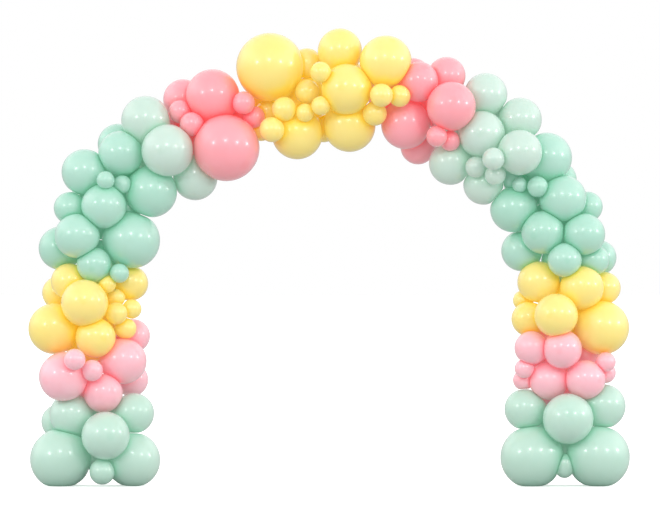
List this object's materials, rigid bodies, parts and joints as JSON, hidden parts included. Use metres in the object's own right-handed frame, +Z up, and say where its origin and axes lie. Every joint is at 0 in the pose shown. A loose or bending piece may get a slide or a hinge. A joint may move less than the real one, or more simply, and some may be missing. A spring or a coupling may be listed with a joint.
{
  "type": "balloon garland arch",
  "caption": "Free-standing arch of a balloon garland: pastel latex balloons of mixed sizes, pressed together in runs of one colour from foot to foot.",
  "frame": {"origin": "on the floor, under the middle of the arch's bounding box", "axes": "+X to the right as seen from the front, +Y to the back through the archway, +Z up"},
  "size_m": [2.9858, 0.5934, 2.2789],
  "materials": {
    "light_mint": "pale green-mint latex, satin, blown up tight",
    "mint": "mint green latex, satin, blown up tight",
    "pale_mint": "very pale grey-green latex, satin, blown up tight",
    "pink": "baby pink latex, satin, blown up tight",
    "coral": "coral pink latex, satin, blown up tight",
    "yellow": "pastel lemon latex, satin, blown up tight"
  },
  "bodies": {
    "root": {"left_coral_balloon_2": "coral", "left_coral_cluster_1": "coral", "left_coral_cluster_3": "coral", "left_coral_cluster_4": "coral", "left_foot_cluster_1": "light_mint", "left_foot_cluster_2": "light_mint", "left_foot_cluster_3": "light_mint", "left_foot_cluster_4": "light_mint", "left_mint_balloon_1": "mint", "left_mint_cluster_2": "mint", "left_mint_cluster_3": "mint", "left_mint_cluster_4": "mint", "left_mint_cluster_5": "mint", "left_mint_cluster_6": "mint", "left_mint_cluster_7": "mint", "left_pale_balloon_1": "pale_mint", "left_pale_cluster_2": "pale_mint", "left_pink_cluster_1": "pink", "left_pink_cluster_2": "pink", "left_pink_cluster_3": "pink", "left_yellow_balloon_2": "yellow", "left_yellow_balloon_6": "yellow", "left_yellow_cluster_1": "yellow", "left_yellow_cluster_3": "yellow", "left_yellow_cluster_4": "yellow", "left_yellow_cluster_5": "yellow", "right_coral_balloon_3": "coral", "right_coral_cluster_1": "coral", "right_coral_cluster_2": "coral", "right_coral_cluster_4": "coral", "right_foot_cluster_2": "light_mint", "right_foot_cluster_3": "light_mint", "right_foot_cluster_4": "light_mint", "right_foot_drop_1": "light_mint", "right_mint_cluster_1": "mint", "right_mint_cluster_2": "mint", "right_mint_cluster_3": "mint", "right_mint_cluster_4": "mint", "right_mint_cluster_5": "mint", "right_mint_cluster_6": "mint", "right_pale_cluster_1": "pale_mint", "right_pale_cluster_2": "pale_mint", "right_pale_cluster_3": "pale_mint", "right_pale_cluster_4": "pale_mint", "right_pink_cluster_1": "pink", "right_pink_cluster_2": "pink", "right_pink_cluster_3": "pink", "right_pink_cluster_4": "pink", "right_pink_cluster_5": "pink", "right_yellow_balloon_2": "yellow", "right_yellow_cluster_1": "yellow", "right_yellow_cluster_3": "yellow", "top_yellow_balloon_2": "yellow", "top_yellow_cluster_1": "yellow", "top_yellow_cluster_3": "yellow", "top_yellow_cluster_4": "yellow", "top_yellow_cluster_5": "yellow", "top_yellow_cluster_6": "yellow", "top_yellow_cluster_7": "yellow", "top_yellow_cluster_8": "yellow"}
  },
  "joints": []
}
